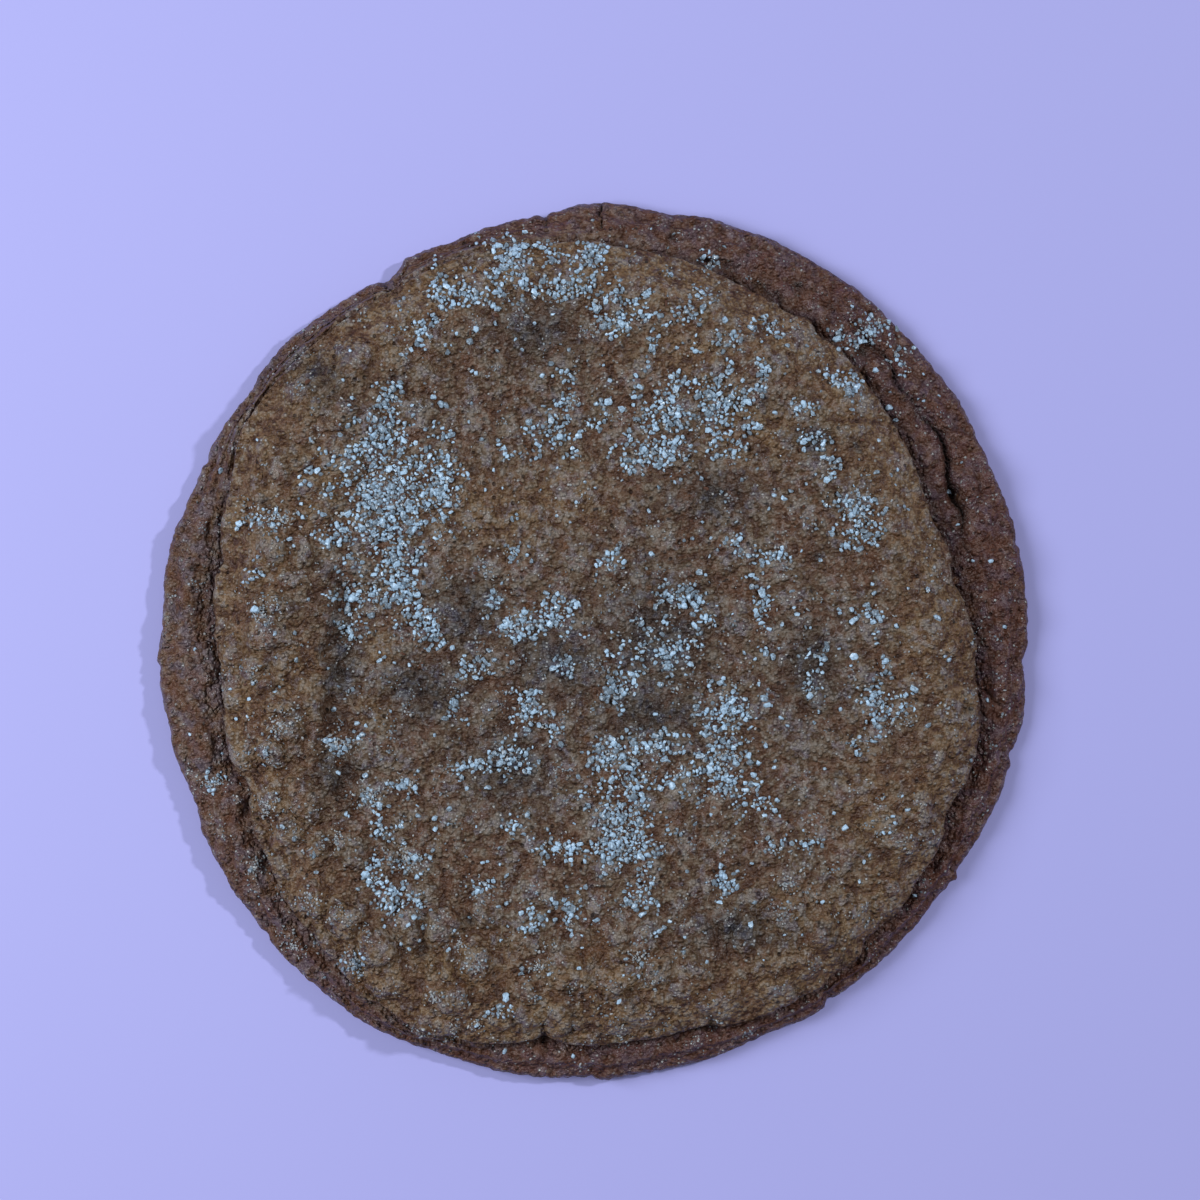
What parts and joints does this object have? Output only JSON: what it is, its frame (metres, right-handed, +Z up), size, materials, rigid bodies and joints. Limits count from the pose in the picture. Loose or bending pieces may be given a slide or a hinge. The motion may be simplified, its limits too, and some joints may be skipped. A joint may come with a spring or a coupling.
{
  "type": "pumpkin snickerdoodle",
  "caption": "Thin round baked biscuit that spread wide, with a low brown rim, a ragged raised top and a sprinkle of coarse sugar.",
  "frame": {"origin": "middle of the biscuit's outline, on the flat underside it rests on", "axes": "+Z up out of the sugared top; +Y and +X lie in the flat underside"},
  "size_m": [0.0898, 0.0904, 0.0072],
  "materials": {
    "baked_crust": "matt",
    "coarse_sugar": "satin",
    "ground_spice": "matt"
  },
  "bodies": {
    "root": {"biscuit": "baked_crust"}
  },
  "joints": []
}
